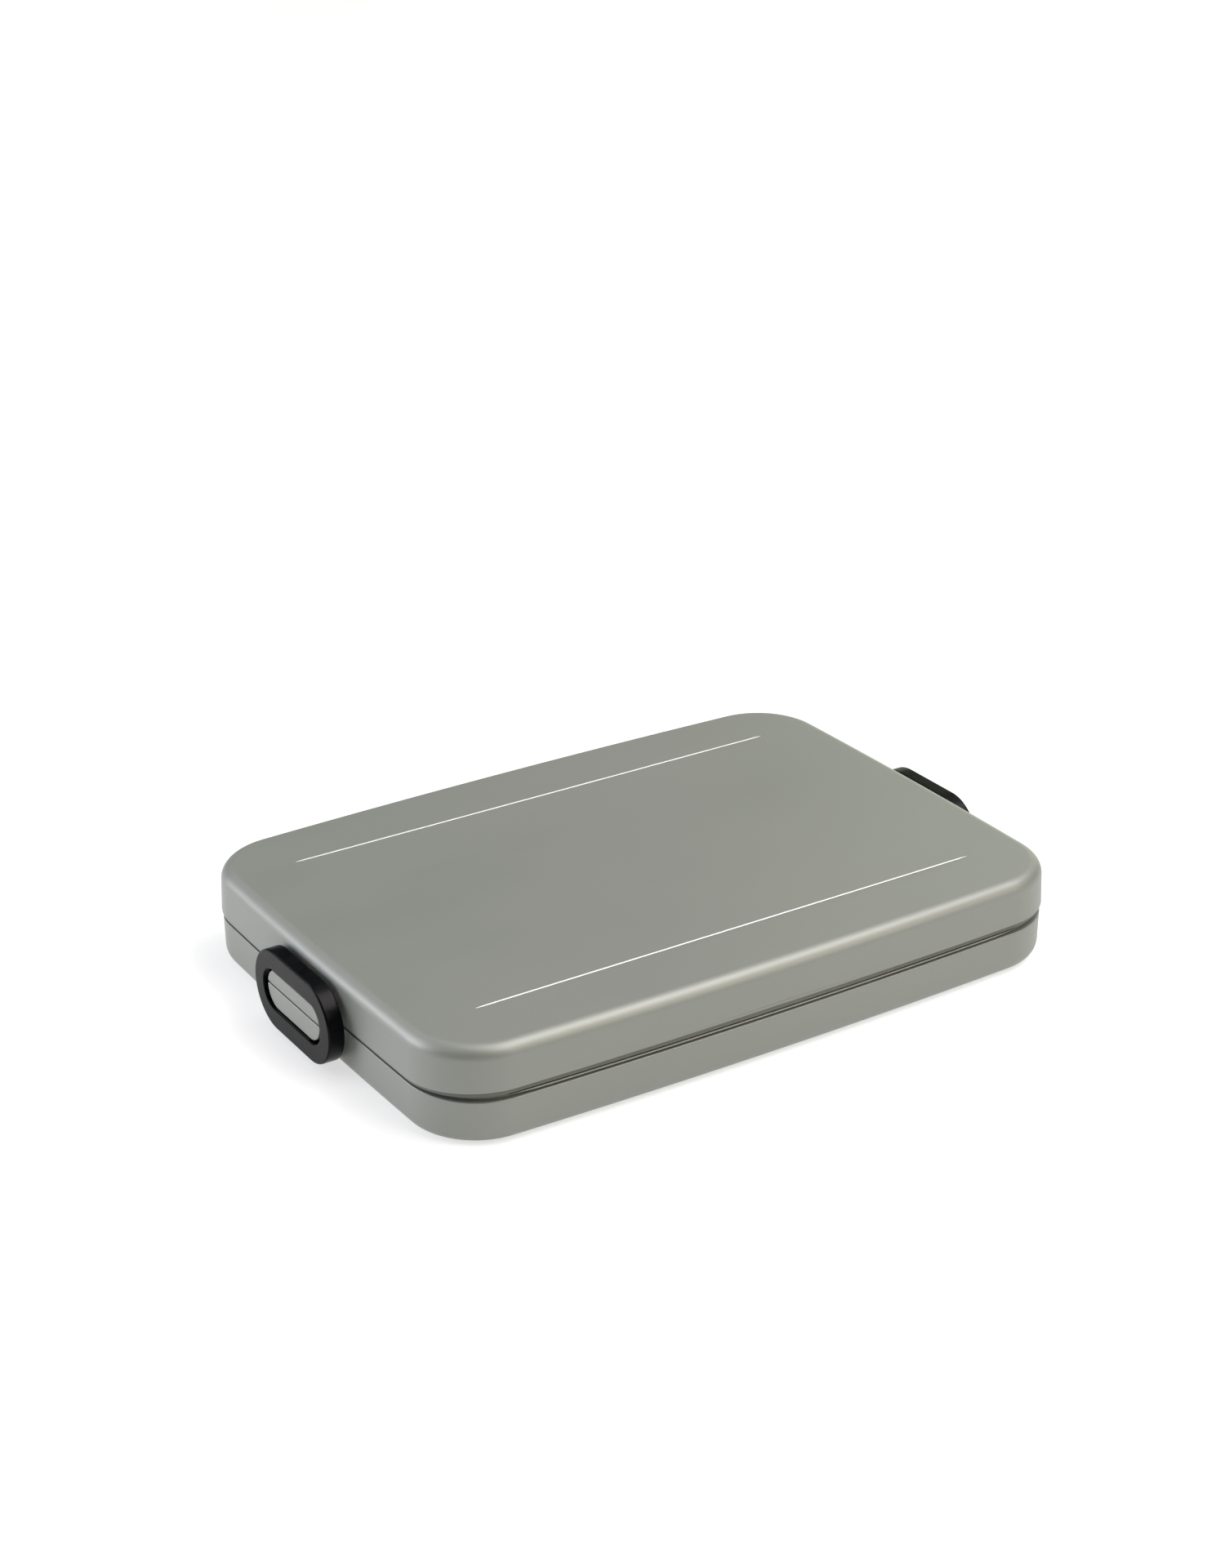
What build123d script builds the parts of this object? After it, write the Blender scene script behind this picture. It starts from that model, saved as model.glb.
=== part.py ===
from build123d import *
import math
import os

# Flat lunch box: a moulded base tray, a lift-off lid, and at each end a ring-shaped clip.
# Each clip hangs on a pin under the end boss and hooks over the lid's half of that boss.
# Millimetres. +X is the long side, +Z is up, and the origin is the middle of the underside.

# Driving dimensions
LENGTH = 236.6
DEPTH = 170.0
HEIGHT = 32.6
CORNER = 24.4
SIDE_BOW = 2400.0
WALL_LEAN = 0.04

# Lid
LID_WALL = 1.7
LID_EDGE_Z = 16.35
LID_BEVEL_Z = 18.15
LID_BEVEL_IN = 0.75
LID_MID_Z = 25.0
LID_TOP_ROUND = 4.5
LID_TOP_WALL = 1.9
LID_STEP_IN = 0.9
STACK_RIB_LENGTH = 186.4
STACK_RIB_WIDTH = 0.8
STACK_RIB_HEIGHT = 0.3
STACK_RIB_Y = 58.3

# Base tray
SHOULDER_Z = 14.75
SHOULDER_IN = 0.15
BASE_LEAN_IN = 0.25
BASE_BOTTOM_ROUND = 4.75
FLOOR = 2.0
FLOOR_ROUND = 3.5
RIM_Z = 20.0
RIM_GAP = 0.35
RIM_WALL = 1.5
CAVITY_LEAN_IN = 0.3
FOOT_RECESS = 0.6
FOOT_LAND = 10.0
BEAD_LENGTH = 183.0
BEAD_Z = 15.5
BEAD_HEIGHT = 0.6
BEAD_IN = 0.85

# End bosses, split between base and lid
BOSS_FACE_X = 124.6
BOSS_LENGTH = 34.8
BOSS_TALL = 13.3
BOSS_LOW_Z = 9.35
BOSS_TOP_Z = 22.35
BOSS_SPLIT_LOW = 16.4
BOSS_SPLIT_HIGH = 16.75
BOSS_HOOK_DROP = 0.6
BOSS_HOOK_DEPTH = 1.25
BOSS_EDGE = 0.35

# Ring clips
CLIP_FRONT_X = 125.3
CLIP_BACK_X = 119.8
CLIP_LENGTH = 50.3
CLIP_TALL = 27.2
CLIP_MID_Z = 15.75
CLIP_PLATE = 1.8
CLIP_SKIRT = 1.6
CLIP_FRONT_ROUND = 0.6
CLIP_BACK_ROUND = 0.5
WINDOW_LENGTH = 38.4
WINDOW_TALL = 14.2
WINDOW_ROUND = 0.3
LEDGE_LENGTH = 22.0
LEDGE_DEPTH = 0.5
LEDGE_SET_BACK = 0.15
LEDGE_RAISE = 0.15

# Hinge under each boss
HINGE_X = 121.7
HINGE_Z = 5.2
PIN_R = 1.0
PIN_GAP = 0.05
LUG_R = 1.9
LUG_GAP = 0.25
LUG_HALF = 9.0
NECK_FRONT_X = 123.1
NECK_BACK_X = 121.1
CHEEK_IN = 9.2
CHEEK_OUT = 11.2
CHEEK_TOP_Z = 7.4

HALF_X = LENGTH / 2
HALF_Y = DEPTH / 2


def plan(grow, z):
    """The box's outline grown by `grow`: four slightly bowed sides and rounded corners."""
    outline = Circle(SIDE_BOW)
    for side in (-1, 1):
        outline &= Pos(side * (SIDE_BOW - HALF_X), 0) * Circle(SIDE_BOW + grow)
        outline &= Pos(0, side * (SIDE_BOW - HALF_Y)) * Circle(SIDE_BOW + grow)
    return Pos(0, 0, z) * fillet(outline.vertices(), CORNER + grow)


def block(grow, z_low, z_high, lean=0.0):
    """Block of the box's plan, grown by `grow` at its foot, leaning in by `lean` on the way up."""
    return loft([plan(grow, z_low), plan(grow - lean, z_high)], ruled=True)


def stadium(length, tall, x_from, x_to, z_mid=CLIP_MID_Z):
    """Round-ended bar of the given length along Y, running from x_from to x_to at the left end."""
    face = Plane.YZ.offset(-x_from) * Pos(0, z_mid) * SlotOverall(length, tall)
    return extrude(face, amount=x_from - x_to)


def slab(x_low, x_high, y_half, z_low, z_high):
    """Plain block centred on Y."""
    size = Box(x_high - x_low, 2 * y_half, z_high - z_low)
    return Pos((x_low + x_high) / 2, 0, (z_low + z_high) / 2) * size


def rod(radius, half_length):
    """Cylinder on the left hinge axis."""
    return Pos(-HINGE_X, 0, HINGE_Z) * Rot(X=90) * Cylinder(radius, 2 * half_length)


def lid_grow(z):
    """How far the lid's wall stands outside the nominal plan at height z."""
    return WALL_LEAN * (LID_MID_Z - z)


def edges_at(shape, z):
    """Edges of a shape that lie level at height z."""
    return shape.edges().filter_by_position(Axis.Z, z - 0.01, z + 0.01)


def both_ends(shape):
    """The shape at the left end and its half-turned copy at the right end."""
    return [shape, Rot(Z=180) * shape]


def boss():
    """Full left boss, its front edge rounded and its top front sloped for the clip's hook."""
    body = stadium(BOSS_LENGTH, BOSS_TALL, BOSS_FACE_X, HALF_X - LID_WALL, BOSS_LOW_Z + BOSS_TALL / 2)
    body = fillet(body.faces().sort_by(Axis.X)[0].edges(), BOSS_EDGE)
    slope = Plane.XZ * Polyline(
        (-BOSS_FACE_X - 1, BOSS_TOP_Z + 2),
        (-BOSS_FACE_X - 1, BOSS_TOP_Z - BOSS_HOOK_DROP * (1 + 1 / BOSS_HOOK_DEPTH)),
        (-BOSS_FACE_X + BOSS_HOOK_DEPTH, BOSS_TOP_Z),
        (0, BOSS_TOP_Z),
        (0, BOSS_TOP_Z + 2),
        close=True,
    )
    return body - extrude(make_face(slope), amount=BOSS_LENGTH, both=True)


def make_lid():
    """Lid: leaning skirt with a bevelled lower edge, a soft top edge and two stacking ribs."""
    bevel = lid_grow(LID_BEVEL_Z)
    upper = block(bevel, LID_BEVEL_Z, HEIGHT, lean=bevel - lid_grow(HEIGHT))
    upper = fillet(edges_at(upper, HEIGHT), LID_TOP_ROUND)
    lower = block(bevel - LID_BEVEL_IN, LID_EDGE_Z, LID_BEVEL_Z, lean=-LID_BEVEL_IN)
    shell = upper + lower
    for end in both_ends(boss() & slab(-BOSS_FACE_X - 1, 0, BOSS_LENGTH, BOSS_SPLIT_HIGH, HEIGHT)):
        shell += end
    shell -= block(-LID_WALL, LID_EDGE_Z, RIM_Z)
    ceiling = HEIGHT - LID_TOP_WALL
    hollow = block(-LID_WALL - LID_STEP_IN, RIM_Z, ceiling, lean=WALL_LEAN * (ceiling - RIM_Z))
    shell -= fillet(edges_at(hollow, ceiling), LID_TOP_ROUND - LID_TOP_WALL)
    for side in (-1, 1):
        rib = Box(STACK_RIB_LENGTH, STACK_RIB_WIDTH, 2 * STACK_RIB_HEIGHT)
        rib = chamfer(rib.faces().sort_by(Axis.Z)[-1].edges(), 0.75 * STACK_RIB_HEIGHT)
        shell += Pos(0, side * STACK_RIB_Y, HEIGHT) * rib
    return shell


def make_base():
    """Base tray: leaning wall, shoulder, inner rim, locating beads, end bosses and hinge lugs."""
    tray = block(-SHOULDER_IN - BASE_LEAN_IN, 0, SHOULDER_Z, lean=-BASE_LEAN_IN)
    tray = fillet(edges_at(tray, 0), BASE_BOTTOM_ROUND)
    rim_out = -LID_WALL - RIM_GAP
    tray += block(rim_out, SHOULDER_Z - 1, RIM_Z)
    cavity_low = rim_out - RIM_WALL - CAVITY_LEAN_IN
    cavity = block(cavity_low, FLOOR, RIM_Z, lean=-CAVITY_LEAN_IN)
    tray -= fillet(edges_at(cavity, FLOOR), FLOOR_ROUND)
    foot_in = -SHOULDER_IN - BASE_LEAN_IN - BASE_BOTTOM_ROUND - FOOT_LAND
    tray -= block(foot_in, 0, FOOT_RECESS, lean=FOOT_RECESS)
    bead_low, bead_high = BEAD_Z - BEAD_HEIGHT / 2, BEAD_Z + BEAD_HEIGHT / 2
    bead = block(-BEAD_IN, bead_low, bead_high) - block(rim_out - RIM_WALL / 2, bead_low, bead_high)
    tray += bead & Pos(0, 0, BEAD_Z) * Box(BEAD_LENGTH, DEPTH, BEAD_HEIGHT)
    wall_x = -(HALF_X - SHOULDER_IN) + 0.6
    lower_boss = boss() & slab(-BOSS_FACE_X - 1, wall_x, BOSS_LENGTH, 0, BOSS_SPLIT_LOW)
    lower_boss -= slab(-(HALF_X + 0.2), 0, BOSS_LENGTH, SHOULDER_Z, BOSS_SPLIT_LOW + 1)
    neck = slab(-NECK_FRONT_X, -NECK_BACK_X, LUG_HALF, HINGE_Z, BOSS_LOW_Z + 1)
    hinge_half = lower_boss + neck + rod(LUG_R, LUG_HALF) - rod(PIN_R + PIN_GAP, LUG_HALF + 1)
    for end in both_ends(hinge_half):
        tray += end
    return tray


def make_clip():
    """Left ring clip: front plate with a finger window, outer skirt and two pin cheeks."""
    ring = stadium(CLIP_LENGTH, CLIP_TALL, CLIP_FRONT_X, CLIP_BACK_X)
    ring = fillet(ring.faces().sort_by(Axis.X)[0].edges(), CLIP_FRONT_ROUND)
    ring = fillet(ring.faces().sort_by(Axis.X)[-1].edges(), CLIP_BACK_ROUND)
    plate_back = CLIP_FRONT_X - CLIP_PLATE
    skirt = 2 * CLIP_SKIRT
    ring -= stadium(CLIP_LENGTH - skirt, CLIP_TALL - skirt, plate_back, CLIP_BACK_X - 1)
    window = stadium(WINDOW_LENGTH, WINDOW_TALL, CLIP_FRONT_X + 1, plate_back - 1)
    ring -= window
    rim = [
        e for e in ring.faces().sort_by(Axis.X)[0].edges()
        if abs(e.center().Z - CLIP_MID_Z) <= WINDOW_TALL / 2 + 0.01
        and abs(e.center().Y) < WINDOW_LENGTH / 2
    ]
    ring = fillet(rim, WINDOW_ROUND)
    clip_low_z = CLIP_MID_Z - CLIP_TALL / 2
    for side in (-1, 1):
        cheek = slab(-plate_back - 0.5, -CLIP_BACK_X, (CHEEK_OUT - CHEEK_IN) / 2,
                     clip_low_z + CLIP_SKIRT / 2, CHEEK_TOP_Z)
        ring += Pos(0, side * (CHEEK_OUT + CHEEK_IN) / 2, 0) * cheek
    ring -= rod(LUG_R + LUG_GAP, CHEEK_IN)
    ring -= rod(PIN_R, CHEEK_OUT)
    window_low_z = CLIP_MID_Z - WINDOW_TALL / 2
    ledge_front = -CLIP_FRONT_X + LEDGE_SET_BACK
    ledge = slab(ledge_front, ledge_front + LEDGE_DEPTH, LEDGE_LENGTH / 2,
                 window_low_z - 0.5, window_low_z + LEDGE_RAISE)
    return ring + ledge


os.makedirs("parts", exist_ok=True)
left_clip = make_clip()
left_pin = rod(PIN_R, CHEEK_OUT)
nodes = {
    "base_tray": make_base(),
    "lid": make_lid(),
    "left_clip": left_clip,
    "right_clip": Rot(Z=180) * left_clip,
    "left_hinge_pin": left_pin,
    "right_hinge_pin": Rot(Z=180) * left_pin,
}
for name, shape in nodes.items():
    export_step(Part(shape.wrapped), f"parts/{name}.step")
    box = shape.bounding_box()
    print(name, round(shape.volume), [round(v, 2) for v in (*box.min, *box.max)])
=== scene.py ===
import math

import bmesh
import bpy
from mathutils import Matrix, Vector


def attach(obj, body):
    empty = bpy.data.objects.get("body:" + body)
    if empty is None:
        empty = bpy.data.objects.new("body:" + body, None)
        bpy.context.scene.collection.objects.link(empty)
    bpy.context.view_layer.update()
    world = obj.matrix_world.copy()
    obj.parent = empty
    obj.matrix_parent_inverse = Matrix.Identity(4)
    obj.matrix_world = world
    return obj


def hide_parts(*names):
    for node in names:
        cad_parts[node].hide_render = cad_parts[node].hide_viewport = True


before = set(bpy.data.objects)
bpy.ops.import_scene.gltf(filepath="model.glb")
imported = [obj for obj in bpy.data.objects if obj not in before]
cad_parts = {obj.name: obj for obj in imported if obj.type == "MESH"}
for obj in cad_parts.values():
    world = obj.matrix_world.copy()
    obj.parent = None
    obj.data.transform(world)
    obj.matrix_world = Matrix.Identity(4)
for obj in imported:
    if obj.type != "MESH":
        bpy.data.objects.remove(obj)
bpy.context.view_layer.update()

# Flat lunch box with a ring clip at each end. Lengths below are millimetres, as in the CAD model,
# and become metres when a point is multiplied by MM. The left end, at -X, is the one that is built.
MM = 0.001

# Plan of the box, in millimetres: the same bowed outline as the CAD model
HALF_X = 118.3
HALF_Y = 85.0
CORNER = 24.4
SIDE_BOW = 2400.0
CORNER_STEPS = 24
LONG_STEPS = 44
SHORT_STEPS = 32

# The middle stretch of the long sides where the lid's skirt is scooped for the fingers
GRIP_HALF = 70.0

# Lid: the lip's levels count the points of its section, from the top's middle to the ceiling's
WALL_LEAN = 0.04
LID_MID_Z = 25.0
LID_TOP_Z = 32.6
LID_TOP_ROUND = 4.5
LID_CEILING_Z = 30.7
LID_UNDERCUT_Z = 18.15
LID_EDGE_Z = 16.35
LID_WALL = 1.7
LID_STEP_IN = 2.6
# The lip's faces between these two levels get painted shade
LIP_FIRST_LEVEL = 22
LIP_LAST_LEVEL = 37
RIB_Y = 58.3

# Tray
FLOOR_Z = 2.0
RIM_Z = 20.0
RIM_OUT = -2.05
RIM_IN = -3.55
SHOULDER_Z = 14.75
BEAD_Z = 15.5
RECESS_Z = 0.6

# Inset at which the section through the lid or the tray ends, in the flat middle
SECTION_END = -12.0

# Bosses and hinge lugs
BOSS_FACE = 124.6
BOSS_HALF = 17.4
BOSS_MID_Z = 16.0
BOSS_R = 6.65
BOSS_TOP_Z = 22.35
HOOK_START = 123.35
HOOK_SLOPE = 0.48
SEAM_LOW_Z = 16.25
SEAM_HIGH_Z = 16.85
SEAM_ROUND = 0.45
HINGE_X = 121.7
HINGE_Z = 5.2
PIN_R = 1.0
PIN_GAP = 0.05
LUG_R = 1.9
LUG_HALF = 9.0
LUG_SPACE_R = LUG_R + 0.25
LUG_SPACE_HALF = 10.0

# Ring clip
CLIP_FRONT = 125.3
CLIP_BACK = 119.8
CLIP_MID_Z = 15.75
CLIP_R = 13.6
CLIP_STRAIGHT = 11.55
WINDOW_R = 7.1
WINDOW_STRAIGHT = 12.1
PLATE_BACK = 123.5
SKIRT_IN_R = 12.0
CHEEK_IN = 9.2
CHEEK_OUT = 11.2
LEDGE_HALF = 11.0

# Studio, in metres
FLOOR_HALF = 1.7
LIGHT_DISTANCE = 2.4


# ---------------------------------------------------------------- outlines

def side_and_corner():
    """Centres of the +X side's arc, the +Y side's arc and the corner arc that is tangent to both."""
    side_x, side_y = HALF_X - SIDE_BOW, HALF_Y - SIDE_BOW
    reach = SIDE_BOW - CORNER
    corner_x, corner_y = HALF_X - CORNER, HALF_Y - CORNER
    for _ in range(20):
        corner_x = side_x + math.sqrt(reach ** 2 - corner_y ** 2)
        corner_y = side_y + math.sqrt(reach ** 2 - corner_x ** 2)
    return side_x, side_y, corner_x, corner_y


def arc(cx, cy, radius, start, end, steps):
    """Points and outward directions along an arc, without its last point."""
    angles = [start + (end - start) * i / steps for i in range(steps)]
    return [((cx + radius * math.cos(a), cy + radius * math.sin(a)), (math.cos(a), math.sin(a)))
            for a in angles]


def plan_outline():
    """The box's outline as (point, outward direction) pairs, counter-clockwise."""
    side_x, side_y, corner_x, corner_y = side_and_corner()
    low = math.atan2(corner_y, corner_x - side_x)
    high = math.atan2(corner_y - side_y, corner_x)
    half_turn = math.pi
    half = arc(side_x, 0, SIDE_BOW, -low, low, SHORT_STEPS)
    half += arc(corner_x, corner_y, CORNER, low, high, CORNER_STEPS)
    half += arc(0, side_y, SIDE_BOW, high, half_turn - high, LONG_STEPS)
    half += arc(-corner_x, corner_y, CORNER, half_turn - high, half_turn - low, CORNER_STEPS)
    return half + [((-x, -y), (-nx, -ny)) for (x, y), (nx, ny) in half]


OUTLINE = plan_outline()


def shares(point, outward):
    """How much a place on the outline belongs to a short end, and to the long sides' middle grip."""
    grip = max(0.0, 1 - abs(point[0]) / GRIP_HALF) if abs(outward[1]) > 0.9 else 0.0
    return outward[0] ** 4, grip


def rounded(corners, closed=False):
    """A 2-D line through (u, v, radius, steps) corners, with each corner rounded."""
    count = len(corners)
    line = []
    for i, (u, v, radius, steps) in enumerate(corners):
        here = Vector((u, v))
        if radius == 0 or (not closed and i in (0, count - 1)):
            line.append(here)
            continue
        before = (Vector(corners[i - 1][:2]) - here).normalized()
        after = (Vector(corners[(i + 1) % count][:2]) - here).normalized()
        half = before.angle(after) / 2
        centre = here + (before + after).normalized() * (radius / math.sin(half))
        start = here + before * (radius / math.tan(half)) - centre
        end = here + after * (radius / math.tan(half)) - centre
        sweep = math.pi - 2 * half
        for k in range(steps + 1):
            t = k / steps
            spoke = start * math.sin((1 - t) * sweep) + end * math.sin(t * sweep)
            line.append(centre + spoke / math.sin(sweep))
    return line


def walk(corners, step):
    """Points along a closed 2-D outline, no more than `step` apart."""
    line = []
    for i, corner in enumerate(corners):
        here, after = Vector(corner), Vector(corners[(i + 1) % len(corners)])
        parts = max(1, math.ceil((after - here).length / step))
        line += [here.lerp(after, k / parts) for k in range(parts)]
    return line


def stadium_ring(radius, straight, x, steps=28, straight_steps=12):
    """Closed loop round the left clip's middle: a round-ended outline along Y, x from the origin."""
    ring = []
    for side in (1, -1):
        for k in range(steps):
            a = math.pi * k / steps - math.pi / 2
            z = CLIP_MID_Z + side * radius * math.sin(a)
            ring.append((side * (straight + radius * math.cos(a)), z))
        for k in range(straight_steps):
            y = straight * (1 - 2 * k / straight_steps)
            ring.append((side * y, CLIP_MID_Z + side * radius))
    return [Vector((-x, y, z)) * MM for y, z in ring]


# ------------------------------------------------------------ mesh helpers

def skin(bm, rings, closed=False):
    """Quads between neighbouring loops of points; returns the loops as vertices."""
    loops = [[bm.verts.new(p) for p in ring] for ring in rings]
    pairs = list(zip(loops, loops[1:]))
    if closed:
        pairs.append((loops[-1], loops[0]))
    for low, high in pairs:
        for i in range(len(low)):
            j = (i + 1) % len(low)
            bm.faces.new((low[i], low[j], high[j], high[i]))
    return loops


def close_over(bm, loop, scales=(0.96, 0.8, 0.55, 0.25)):
    """Fill a flat loop with shrinking rings and a centre point."""
    centre = sum((v.co for v in loop), Vector()) / len(loop)
    outer = loop
    for s in scales:
        inner = [bm.verts.new(centre + (v.co - centre) * s) for v in loop]
        for i in range(len(loop)):
            j = (i + 1) % len(loop)
            bm.faces.new((outer[i], outer[j], inner[j], inner[i]))
        outer = inner
    middle = bm.verts.new(centre)
    for i in range(len(loop)):
        bm.faces.new((outer[i], outer[(i + 1) % len(loop)], middle))


def shell(bm, profile_at, painted_shade_levels=()):
    """Sweep an open (grow, z) profile round the box and close both its ends.

    The bands of faces that start at the painted shade levels of the profile get the piece's second
    material, a painted shade.
    """
    columns = [profile_at(*shares(point, outward)) for point, outward in OUTLINE]
    rings = []
    for level in range(len(columns[0])):
        ring = []
        for ((x, y), (nx, ny)), column in zip(OUTLINE, columns):
            grow, z = column[level]
            ring.append(Vector((x + grow * nx, y + grow * ny, z)) * MM)
        rings.append(ring)
    loops = skin(bm, rings)
    bm.faces.ensure_lookup_table()
    around = len(OUTLINE)
    for level in painted_shade_levels:
        for i in range(around):
            bm.faces[level * around + i].material_index = 1
    close_over(bm, loops[0])
    close_over(bm, loops[-1])


def both_ends(bm, build):
    """Run `build`, then copy what it added half a turn round Z for the right end."""
    before = set(bm.verts)
    build(bm)
    added = [v for v in bm.verts if v not in before]
    faces = list({f for v in added for f in v.link_faces})
    copy = bmesh.ops.duplicate(bm, geom=added + faces)["geom"]
    turned = [g for g in copy if isinstance(g, bmesh.types.BMVert)]
    bmesh.ops.rotate(bm, verts=turned, matrix=Matrix.Rotation(math.pi, 3, "Z"))


def piece(name, bm, material, body, nodes):
    """Turn a bmesh into a smooth-shaded piece that rides on a body and stands for CAD nodes."""
    bmesh.ops.recalc_face_normals(bm, faces=bm.faces)
    mesh = bpy.data.meshes.new(name)
    bm.to_mesh(mesh)
    bm.free()
    mesh.materials.append(material)
    mesh.shade_smooth()
    obj = bpy.data.objects.new(name, mesh)
    bpy.context.scene.collection.objects.link(obj)
    obj.modifiers.new("weighted normals", "WEIGHTED_NORMAL")
    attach(obj, body)
    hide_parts(*nodes)
    return obj


# --------------------------------------------------------------- materials

# Colour ramps as (texture value, colour) stops
BODY_TONES = [
    (0.30, (0.242, 0.254, 0.229)),
    (0.62, (0.250, 0.262, 0.236)),
    (0.95, (0.259, 0.271, 0.244)),
]
# Brighter tone for the lid's ribs: a painted highlight
RIB_HIGHLIGHT_PAINT_TONES = [(0.3, (0.35, 0.36, 0.34)), (0.7, (0.43, 0.44, 0.42))]
# Dark olive tone for the lid's undercut lip: painted shade
LIP_SHADE_PAINT_TONES = [(0.3, (0.100, 0.100, 0.085)), (0.7, (0.120, 0.120, 0.102))]
CLIP_TONES = [(0.3, (0.001, 0.0011, 0.0018)), (0.7, (0.002, 0.0022, 0.0032))]
PIN_TONES = [(0.35, (0.50, 0.50, 0.49)), (0.65, (0.62, 0.62, 0.61))]
FLOOR_TONES = [(0.3, (0.46, 0.46, 0.46)), (0.7, (0.48, 0.48, 0.48))]


class Nodes:
    """Short way to add and link shader nodes."""

    def __init__(self, name):
        self.material = bpy.data.materials.new(name)
        self.material.use_nodes = True
        self.tree = self.material.node_tree
        self.shader = self.tree.nodes["Principled BSDF"]
        self.coords = self.add("ShaderNodeTexCoord").outputs["Object"]

    def add(self, kind, **values):
        node = self.tree.nodes.new(kind)
        for key, value in values.items():
            if key in node.inputs:
                node.inputs[key].default_value = value
            else:
                setattr(node, key, value)
        return node

    def link(self, output, target):
        self.tree.links.new(output, target)

    def noise(self, scale, detail=3.0, roughness=0.55, stretch=(1, 1, 1)):
        """Noise in metres: `scale` is cycles per metre, `stretch` squeezes it along the axes."""
        mapping = self.add("ShaderNodeMapping")
        mapping.inputs["Scale"].default_value = stretch
        self.link(self.coords, mapping.inputs["Vector"])
        noise = self.add("ShaderNodeTexNoise", Scale=scale, Detail=detail, Roughness=roughness)
        self.link(mapping.outputs["Vector"], noise.inputs["Vector"])
        return noise.outputs["Fac"]

    def spread(self, value, low, high):
        """Map a noise texture's usual values, 0.3..0.7, to low..high."""
        node = self.add("ShaderNodeMapRange")
        self.link(value, node.inputs["Value"])
        for key, number in (("From Min", 0.3), ("From Max", 0.7), ("To Min", low), ("To Max", high)):
            node.inputs[key].default_value = number
        return node.outputs["Result"]

    def ramp(self, value, colours):
        """Colour ramp from (position, rgb) stops."""
        node = self.add("ShaderNodeValToRGB")
        elements = node.color_ramp.elements
        while len(elements) < len(colours):
            elements.new(0.5)
        for element, (position, rgb) in zip(elements, colours):
            element.position = position
            element.color = (*rgb, 1.0)
        self.link(value, node.inputs["Fac"])
        return node.outputs["Color"]

    def bump(self, height, strength, distance, under=None):
        """Bump from a height, in metres, on top of the bump `under` if there is one."""
        node = self.add("ShaderNodeBump", Strength=strength, Distance=distance)
        self.link(height, node.inputs["Height"])
        if under is not None:
            self.link(under, node.inputs["Normal"])
        return node.outputs["Normal"]

    def sum(self, first, second, weight):
        """first + weight * second"""
        node = self.add("ShaderNodeMath", operation="MULTIPLY_ADD")
        self.link(second, node.inputs[0])
        node.inputs[1].default_value = weight
        self.link(first, node.inputs[2])
        return node.outputs[0]


def body_material():
    """Silver-grey moulding with fine metal pigment: soft flow clouds, flakes and a satin surface."""
    n = Nodes("silver_grey_moulding")
    clouds = n.noise(9.0, detail=2.0, stretch=(1.0, 1.6, 1.6))
    flow = n.noise(60.0, detail=4.0, stretch=(0.25, 1.0, 1.0))
    flakes = n.add("ShaderNodeTexVoronoi", Scale=4200.0)
    n.link(n.coords, flakes.inputs["Vector"])
    tone = n.sum(n.sum(clouds, flow, 0.25), flakes.outputs["Distance"], 0.12)
    n.link(n.ramp(tone, BODY_TONES), n.shader.inputs["Base Color"])
    n.link(n.spread(n.sum(clouds, flow, 0.5), 0.44, 0.50), n.shader.inputs["Roughness"])
    n.shader.inputs["Metallic"].default_value = 0.45
    n.shader.inputs["Coat Weight"].default_value = 0.12
    n.shader.inputs["Coat Roughness"].default_value = 0.35
    skin_grain = n.bump(n.noise(2600.0, detail=2.0), 0.05, 0.00004)
    ripple = n.bump(n.noise(24.0, detail=1.0), 0.10, 0.0004, under=skin_grain)
    n.link(ripple, n.shader.inputs["Normal"])
    return n.material


def rib_highlight_paint_material():
    """Painted highlight on the lid's ribs: the silver finish in a brighter tone, smoother and more
    metallic.
    """
    n = Nodes("rib_painted_highlight")
    painted_highlight_noise = n.noise(420.0, detail=3.0, stretch=(0.15, 1.0, 1.0))
    n.link(n.ramp(painted_highlight_noise, RIB_HIGHLIGHT_PAINT_TONES), n.shader.inputs["Base Color"])
    n.link(n.spread(painted_highlight_noise, 0.34, 0.46), n.shader.inputs["Roughness"])
    n.shader.inputs["Metallic"].default_value = 0.6
    n.link(n.bump(painted_highlight_noise, 0.05, 0.00004), n.shader.inputs["Normal"])
    return n.material


def lip_shade_paint_material():
    """Painted shade in the lid's undercut lip: a dark olive-grey tone, matt and slightly cloudy."""
    n = Nodes("lip_painted_shade")
    clouds = n.noise(140.0, detail=3.0)
    n.link(n.ramp(clouds, LIP_SHADE_PAINT_TONES), n.shader.inputs["Base Color"])
    n.link(n.spread(clouds, 0.45, 0.6), n.shader.inputs["Roughness"])
    n.link(n.bump(n.noise(2600.0, detail=2.0), 0.1, 0.00004), n.shader.inputs["Normal"])
    return n.material


def clip_material():
    """Black moulded plastic with a fine spark-eroded grain and slightly polished touch areas."""
    n = Nodes("black_moulding")
    wear = n.noise(180.0, detail=3.0)
    grain = n.noise(5200.0, detail=3.0, roughness=0.6)
    n.link(n.ramp(wear, CLIP_TONES), n.shader.inputs["Base Color"])
    n.link(n.spread(n.sum(wear, grain, 0.3), 0.24, 0.30), n.shader.inputs["Roughness"])
    n.shader.inputs["Specular IOR Level"].default_value = 0.09
    n.link(n.bump(grain, 0.05, 0.00002), n.shader.inputs["Normal"])
    return n.material


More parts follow.
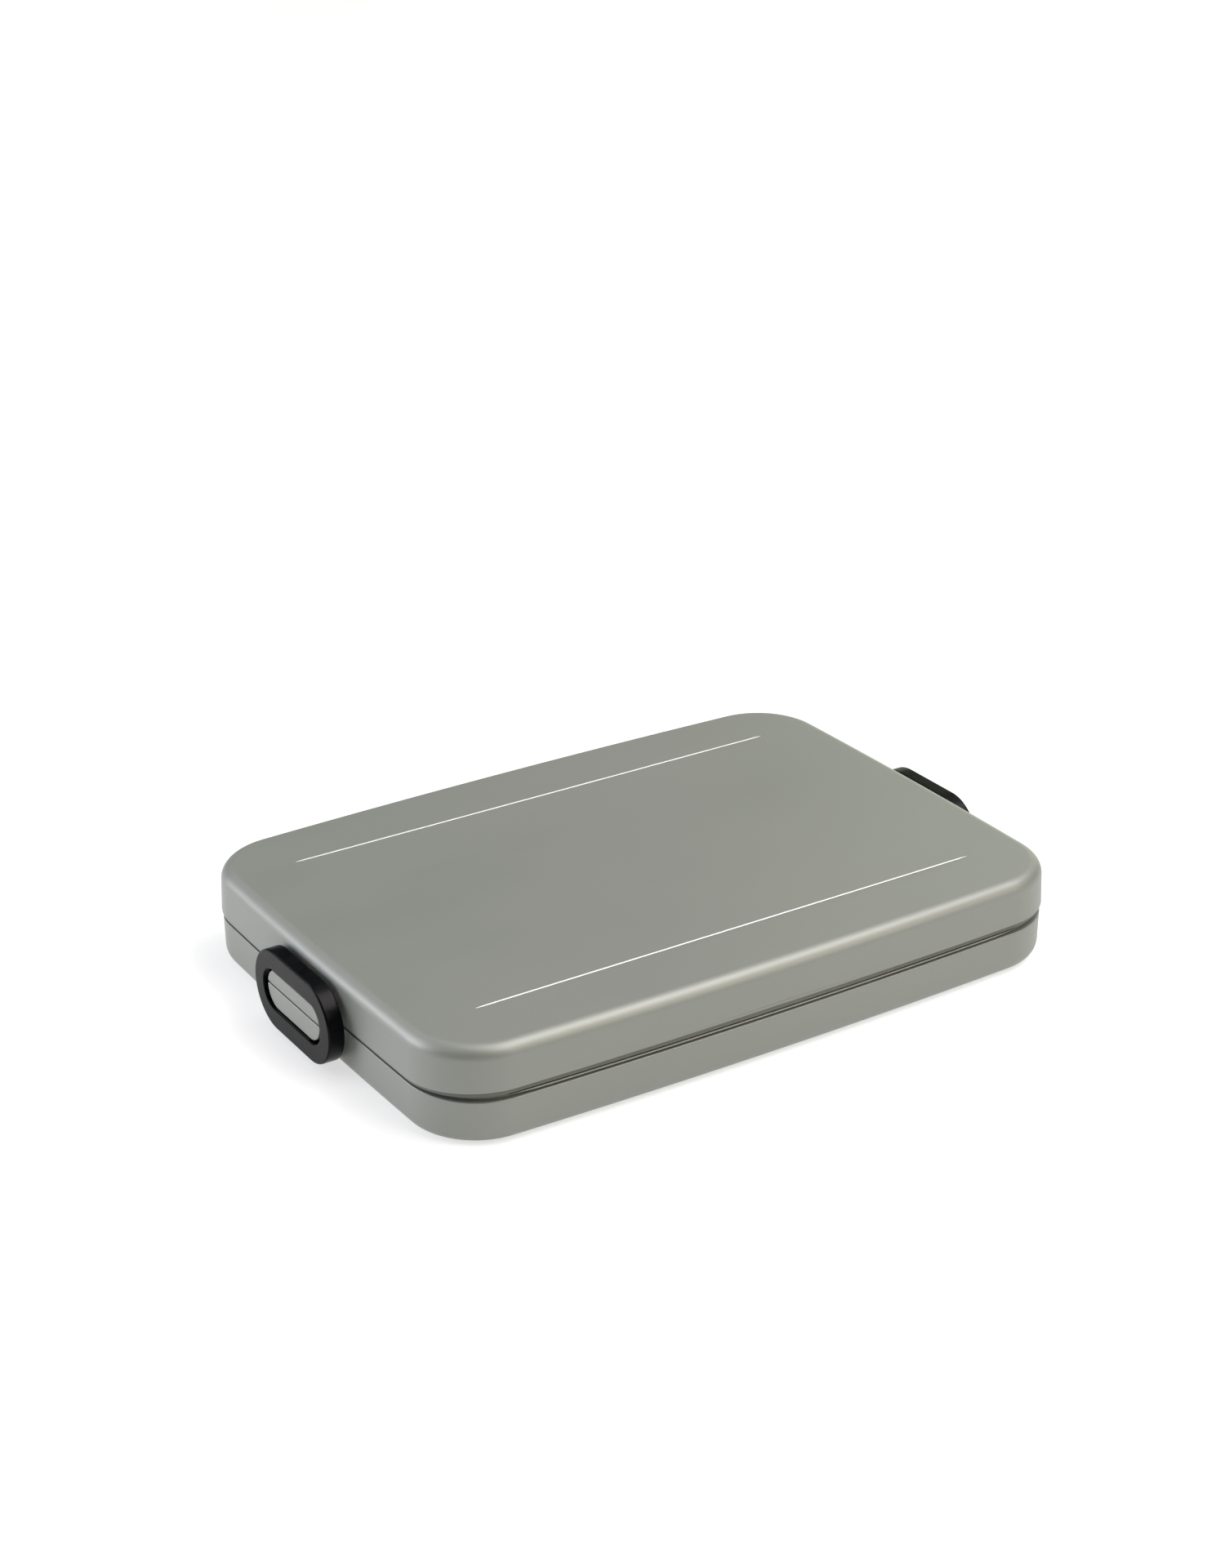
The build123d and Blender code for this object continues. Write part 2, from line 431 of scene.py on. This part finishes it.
def pin_material():
    """Drawn stainless wire: fine lines along the pin."""
    n = Nodes("drawn_wire")
    lines = n.noise(3200.0, detail=4.0, roughness=0.7, stretch=(1.0, 0.02, 1.0))
    n.link(n.ramp(lines, PIN_TONES), n.shader.inputs["Base Color"])
    n.link(n.spread(lines, 0.22, 0.38), n.shader.inputs["Roughness"])
    n.shader.inputs["Metallic"].default_value = 1.0
    n.link(n.bump(lines, 0.2, 0.00002), n.shader.inputs["Normal"])
    return n.material


# ------------------------------------------------------------------ pieces

def lid_grow(z):
    """How far the lid's leaning wall stands outside the plan at height z."""
    return WALL_LEAN * (LID_MID_Z - z)


def boss_half(bm, corners, back_of):
    """One half of the left boss: a (y, z) outline carried from its back to a soft front edge."""
    outline = walk(rounded(corners, closed=True), 1.2)
    middle = sum(outline, Vector((0, 0))) / len(outline)

    def ring(x, inset):
        points = []
        for i, p in enumerate(outline):
            along = (outline[(i + 1) % len(outline)] - outline[i - 1]).normalized()
            inward = Vector((along.y, -along.x))
            if inward.dot(middle - p) < 0:
                inward = -inward
            y, z = p + inward * inset
            z = min(z, BOSS_TOP_Z - HOOK_SLOPE * max(0, x - HOOK_START))
            points.append(Vector((-x, y, z)) * MM)
        return points

    edge = 0.3
    rings = [[Vector((-back_of(p.y), p.x, p.y)) * MM for p in outline]]
    # One ring before the hook's slope starts and one on it
    rings += [ring(x, 0) for x in (HOOK_START - 0.05, HOOK_START + 0.4)]
    for k in range(5):
        a = k / 4 * math.pi / 2
        rings.append(ring(BOSS_FACE - edge + edge * math.sin(a), edge * (1 - math.cos(a))))
    loops = skin(bm, rings)
    close_over(bm, loops[0], scales=(0.8,))
    close_over(bm, loops[-1], scales=(0.96, 0.7))


def boss_arc(start, end, steps=20):
    """(y, z, 0, 0) corners along both round ends of the boss between two angles."""
    straight = BOSS_HALF - BOSS_R
    right = []
    for k in range(steps + 1):
        a = start + (end - start) * k / steps
        right.append((straight + BOSS_R * math.cos(a), BOSS_MID_Z + BOSS_R * math.sin(a), 0, 0))
    left = [(-y, z, r, s) for y, z, r, s in reversed(right)]
    return right, left


def lid_boss(bm):
    """Upper half of the left boss, from the seam to its flat, hooked top."""
    start = math.asin((SEAM_HIGH_Z + 0.55 - BOSS_MID_Z) / BOSS_R)
    end = math.asin((BOSS_TOP_Z - BOSS_MID_Z) / BOSS_R)
    right, left = boss_arc(start, end)
    foot = BOSS_HALF - 0.03
    seam = [(y, SEAM_HIGH_Z, SEAM_ROUND, 5) for y in (-foot, foot)]
    boss_half(bm, right + left + seam, lambda z: 117.4)


def base_boss(bm):
    """Lower half of the left boss; its back clears the lid where it rises above the shoulder."""
    right, left = boss_arc(-math.pi / 2, math.asin((SEAM_LOW_Z - 0.55 - BOSS_MID_Z) / BOSS_R))
    seam = [(y, SEAM_LOW_Z, SEAM_ROUND, 5) for y in (BOSS_HALF, -BOSS_HALF)]
    boss_half(bm, right + seam + left, lambda z: 118.5 if z > SHOULDER_Z - 0.05 else 117.0)


def stacking_rib(bm, side):
    """Thin raised line along the lid's top, with run-out ends and the piece's third material, a
    painted highlight.
    """
    half_length, half_width, height, run_out = 93.2, 0.55, 0.3, 2.5
    stations = 61
    rings = []
    for i in range(stations):
        x = half_length * math.sin((i / (stations - 1) - 0.5) * math.pi)
        taper = min(1.0, max(0.04, (half_length - abs(x)) / run_out)) ** 0.5
        section = []
        for k in range(9):
            across = 1 - k / 4
            rise = height * taper * (1 - abs(across) ** 1.3)
            y = side * RIB_Y + half_width * taper * across
            section.append(Vector((x, y, LID_TOP_Z + rise)) * MM)
        section.append(Vector((x, side * RIB_Y, LID_TOP_Z - height)) * MM)
        rings.append(section)
    first_face = len(bm.faces)
    loops = skin(bm, rings)
    bm.faces.new(loops[0])
    bm.faces.new(loops[-1])
    bm.faces.ensure_lookup_table()
    for face in bm.faces[first_face:]:
        face.material_index = 2


def lid_profile(end, grip):
    """Section through the lid: soft top edge, leaning skirt, undercut lip and the step inside.

    The undercut is shallower at the short ends, and the skirt above it is scooped for the fingers
    in the middle of the long sides.
    """
    undercut_z = LID_UNDERCUT_Z - 0.8 * end
    crease_z = undercut_z + 0.45 + 0.85 * grip
    lip = lid_grow(LID_UNDERCUT_Z) - 0.85 + 0.45 * end
    return rounded([
        (SECTION_END, LID_TOP_Z, 0, 0),
        (lid_grow(LID_TOP_Z), LID_TOP_Z, LID_TOP_ROUND, 14),
        (lid_grow(crease_z) - 0.03, crease_z + 0.4, 0, 0),
        (lid_grow(crease_z) - 0.02 - 0.06 * grip, crease_z + 0.2, 0, 0),
        (lid_grow(crease_z) - 0.01 + 0.04 * grip, crease_z, 0, 0),
        (lid_grow(crease_z) - 0.25 * grip, crease_z - 0.15, 0, 0),
        (lid_grow(undercut_z) - 0.05 - 0.4 * grip, undercut_z, 0.3, 4),
        (lip, undercut_z - 0.75 + 0.3 * end, 0.2, 4),
        (lip - 0.1, LID_EDGE_Z, 0.15, 4),
        (-LID_WALL, LID_EDGE_Z, 0.2, 4),
        (-LID_WALL, RIM_Z, 0.3, 3),
        (-LID_STEP_IN, RIM_Z, 0.3, 3),
        (-LID_STEP_IN - WALL_LEAN * (LID_CEILING_Z - RIM_Z), LID_CEILING_Z, 2.6, 8),
        (SECTION_END, LID_CEILING_Z, 0, 0),
    ])


def make_lid(material, painted_lip_shade, painted_rib_highlight):
    """Lid; its undercut lip gets painted shade and its ribs get a painted highlight."""
    bm = bmesh.new()
    # The lip's bands between these levels get the painted shade material
    shell(bm, lid_profile, painted_shade_levels=range(LIP_FIRST_LEVEL, LIP_LAST_LEVEL))
    both_ends(bm, lid_boss)
    for side in (-1, 1):
        stacking_rib(bm, side)
    lid = piece("lid_shell", bm, material, "lid", ["lid"])
    # Second material: painted shade in the lip; third: painted highlight on the ribs
    lid.data.materials.append(painted_lip_shade)
    lid.data.materials.append(painted_rib_highlight)


def bead(bm, side):
    """Locating bead along one long side, just under the lid's lip."""
    half_length, high, run_out, root = 96.0, 0.34, 9.0, -2.4
    points = [(p, n) for p, n in OUTLINE if abs(p[0]) < half_length and side * p[1] > HALF_Y - 4]
    points.sort(key=lambda item: item[0][0])
    rings = []
    for (x, y), (nx, ny) in points:
        taper = min(1.0, max(0.1, (half_length - abs(x)) / run_out)) ** 0.5
        ring = []
        for k in range(9):
            a = math.pi * (k / 8 - 0.5)
            out = -0.70 - high * taper * (1 - math.cos(a)) - (1 - taper) * 1.0
            ring.append((out, BEAD_Z + high * taper * math.sin(a)))
        ring += [(root, BEAD_Z + high * taper), (root, BEAD_Z - high * taper)]
        rings.append([Vector((x + g * nx, y + g * ny, z)) * MM for g, z in ring])
    loops = skin(bm, rings)
    bm.faces.new(loops[0])
    bm.faces.new(loops[-1])


def plate_with_bore(bm, outline, bore, y_low, y_high, edge=0.15):
    """Plate across Y with a round bore on the left hinge axis; outline is (x, z) around that axis."""
    circle = [Vector(p).normalized() * bore for p in outline]

    def ring(points, y, scale=1.0):
        return [Vector((-HINGE_X + x * scale, y, HINGE_Z + z * scale)) * MM for x, z in points]

    soft = 1 - edge / 4
    skin(bm, [
        ring(circle, y_low), ring(outline, y_low, soft), ring(outline, y_low + edge),
        ring(outline, y_high - edge), ring(outline, y_high, soft), ring(circle, y_high),
    ], closed=True)


def hinge_lug(bm):
    """Lug hanging under the left boss, bored for the pin."""
    front, back, up = 1.4, 0.6, 5.2
    steps = 24
    start = math.acos(back / LUG_R)
    end = math.pi - math.acos(front / LUG_R)
    sweep = 2 * math.pi - (end - start)
    outline = [(back, up)]
    for k in range(steps + 1):
        a = start - sweep * k / steps
        outline.append((LUG_R * math.cos(a), LUG_R * math.sin(a)))
    outline.append((-front, up))
    plate_with_bore(bm, walk(outline, 0.6), PIN_R + PIN_GAP, -LUG_HALF, LUG_HALF)


def base_profile(end, _grip):
    """Section through the tray: floor, rim, shoulder, leaning wall, bottom round and foot recess.

    The shoulder is higher at the short ends, where the seam under the lid closes up.
    """
    shoulder_z = SHOULDER_Z + 0.85 * end
    return rounded([
        (SECTION_END, FLOOR_Z, 0, 0),
        (RIM_IN - 0.3, FLOOR_Z, 3.5, 10),
        (RIM_IN, RIM_Z, 0.4, 4),
        (RIM_OUT, RIM_Z, 0.4, 4),
        (RIM_OUT, shoulder_z, 0.25, 3),
        (-0.15, shoulder_z, 0.3, 4),
        (-0.40, 0.0, 4.75, 14),
        (-15.15, 0.0, 0.3, 3),
        (-15.75, RECESS_Z, 0.3, 3),
        (-17.0, RECESS_Z, 0, 0),
    ])


def make_base(material):
    """Tray with its end bosses, hinge lugs and locating beads."""
    bm = bmesh.new()
    shell(bm, base_profile)
    both_ends(bm, base_boss)
    both_ends(bm, hinge_lug)
    for side in (-1, 1):
        bead(bm, side)
    piece("base_shell", bm, material, "base", ["base_tray"])


def clear_of_lug(point):
    """Push a point of the left clip out of the round space that the tray's hinge lug turns in."""
    axis = Vector((-HINGE_X * MM, point.y, HINGE_Z * MM))
    away = point - axis
    if abs(point.y) > LUG_SPACE_HALF * MM or away.length > LUG_SPACE_R * MM:
        return point
    return axis + away.normalized() * LUG_SPACE_R * MM


def clip_ring(bm):
    """Left clip's ring: flat front plate round the window, with an outer skirt behind it."""
    section = rounded([
        (WINDOW_R, CLIP_FRONT, 0.3, 4),
        (CLIP_R, CLIP_FRONT, 0.6, 6),
        (CLIP_R, CLIP_BACK, 0.5, 5),
        (SKIRT_IN_R, CLIP_BACK, 0.25, 3),
        (SKIRT_IN_R, PLATE_BACK, 0.3, 3),
        (WINDOW_R, PLATE_BACK, 0.2, 3),
    ], closed=True)
    rings = []
    # Steps short enough for the skirt to follow the round space of the lug
    for radius, x in walk(section, 0.5):
        share = (radius - WINDOW_R) / (CLIP_R - WINDOW_R)
        straight = WINDOW_STRAIGHT + (CLIP_STRAIGHT - WINDOW_STRAIGHT) * share
        ring = stadium_ring(radius, straight, x)
        rings.append([clear_of_lug(p) for p in ring])
    skin(bm, rings, closed=True)


def clip_cheeks(bm):
    """Two cheeks inside the skirt that hold the pin."""
    outline = walk([(1.9, 2.2), (1.9, -1.4), (1.2, -2.3), (-1.95, -2.3), (-1.95, 2.2)], 0.6)
    for low, high in ((-CHEEK_OUT, -CHEEK_IN), (CHEEK_IN, CHEEK_OUT)):
        plate_with_bore(bm, outline, PIN_R, low, high)


def finger_ledge(bm):
    """Small ledge on the window's lower edge."""
    low, high = CLIP_MID_Z - WINDOW_R - 0.4, CLIP_MID_Z - WINDOW_R + 0.35
    outline = rounded([
        (-LEDGE_HALF, low, 0, 0), (LEDGE_HALF, low, 0, 0),
        (LEDGE_HALF, high, 0.14, 3), (-LEDGE_HALF, high, 0.14, 3),
    ], closed=True)
    front = CLIP_FRONT - 0.35
    rings = []
    for x, inset in ((front - 0.5, 0), (front - 0.08, 0), (front, 0.07)):
        rings.append([Vector((-x, y - math.copysign(inset, y), z - inset)) * MM for y, z in outline])
    loops = skin(bm, rings)
    bm.faces.new(loops[0])
    bm.faces.new(loops[-1])


def make_clip(name, body, turn, material):
    """Ring clip for the node that is named like its body, turned from the left end by `turn`."""
    bm = bmesh.new()
    clip_ring(bm)
    clip_cheeks(bm)
    finger_ledge(bm)
    bmesh.ops.rotate(bm, verts=bm.verts, matrix=Matrix.Rotation(turn, 3, "Z"))
    piece(name, bm, material, body, [body])


body_look = body_material()
clip_look = clip_material()
pin_look = pin_material()
# The lid's lip gets painted shade and its ribs a painted highlight
make_lid(body_look, lip_shade_paint_material(), rib_highlight_paint_material())
make_base(body_look)
make_clip("left_ring", "left_clip", 0.0, clip_look)
make_clip("right_ring", "right_clip", math.pi, clip_look)
for pin in ("left_hinge_pin", "right_hinge_pin"):
    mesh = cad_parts[pin].data
    mesh.materials.clear()
    mesh.materials.append(pin_look)


# ----------------------------------------------------------- floor and light

def make_floor():
    """Pale translucent light table: it glows a little from below, so that shadows stay faint."""
    n = Nodes("pale_floor")
    tone = n.noise(1.5, detail=2.0)
    n.link(n.ramp(tone, FLOOR_TONES), n.shader.inputs["Base Color"])
    n.shader.inputs["Emission Color"].default_value = (1.0, 1.0, 1.0, 1.0)
    n.shader.inputs["Emission Strength"].default_value = 0.6
    n.shader.inputs["Roughness"].default_value = 0.9
    n.shader.inputs["Specular IOR Level"].default_value = 0.1
    bm = bmesh.new()
    bmesh.ops.create_grid(bm, x_segments=4, y_segments=4, size=FLOOR_HALF)
    mesh = bpy.data.meshes.new("floor")
    bm.to_mesh(mesh)
    bm.free()
    mesh.materials.append(n.material)
    floor = bpy.data.objects.new("floor", mesh)
    bpy.context.scene.collection.objects.link(floor)


def softbox(name, elevation, azimuth, size, power, colour=(1, 1, 1)):
    """Rectangular soft light in the given direction, facing the object."""
    up, round_z = math.radians(elevation), math.radians(azimuth)
    place = Vector((math.cos(up) * math.cos(round_z), math.cos(up) * math.sin(round_z), math.sin(up)))
    light = bpy.data.lights.new(name, "AREA")
    light.shape = "RECTANGLE"
    light.size, light.size_y = size
    light.energy = power
    light.color = colour
    obj = bpy.data.objects.new(name, light)
    obj.location = place * LIGHT_DISTANCE
    obj.rotation_euler = (-place).to_track_quat("-Z", "Y").to_euler()
    bpy.context.scene.collection.objects.link(obj)


def make_light():
    """Softboxes round a dim room; behind the table the camera sees the same white as the table."""
    world = bpy.data.worlds.new("studio")
    world.use_nodes = True
    background = world.node_tree.nodes["Background"]
    background.inputs["Color"].default_value = (1.0, 1.0, 0.98, 1.0)
    seen = world.node_tree.nodes.new("ShaderNodeLightPath")
    strength = world.node_tree.nodes.new("ShaderNodeMapRange")
    strength.inputs["To Min"].default_value = 0.06
    strength.inputs["To Max"].default_value = 1.05
    world.node_tree.links.new(seen.outputs["Is Camera Ray"], strength.inputs["Value"])
    world.node_tree.links.new(strength.outputs["Result"], background.inputs["Strength"])
    bpy.context.scene.world = world
    softbox("zenith", 85, 0, (1.2, 1.2), 12.0, (1.0, 0.97, 0.95))
    softbox("over_front", 55, 300, (1.2, 0.9), 25.0, (1.0, 0.95, 0.90))
    softbox("over_right", 60, 345, (1.05, 1.05), 29.0, (1.0, 0.96, 1.0))
    softbox("over_back_right", 50, 30, (1.2, 0.9), 4.5)
    softbox("over_left", 50, 185, (1.35, 0.9), 2.0)
    softbox("back", 45, 95, (1.5, 0.9), 6.5, (0.92, 0.97, 1.0))
    softbox("back_left", 16, 145, (1.5, 0.75), 33.0, (0.88, 0.90, 1.0))
    softbox("back_left_high", 36, 140, (1.2, 0.6), 11.0, (0.92, 0.94, 1.0))
    softbox("back_right", 10, 35, (1.5, 0.6), 6.0, (0.9, 1.0, 0.7))
    softbox("front_right", 25, 300, (1.2, 0.6), 12.0, (1.0, 0.94, 0.80))


def make_camera():
    """Camera at the photo's angle."""
    data = bpy.data.cameras.new("camera")
    data.lens = 65.625
    data.sensor_width = 36.0
    camera = bpy.data.objects.new("camera", data)
    camera.location = (-0.45731, -0.70416, 0.44687)
    camera.rotation_euler = [math.radians(a) for a in (65.2425, 0.2446, -32.6961)]
    bpy.context.scene.collection.objects.link(camera)
    bpy.context.scene.camera = camera


make_floor()
make_light()
make_camera()
bpy.context.scene.view_settings.view_transform = "Standard"
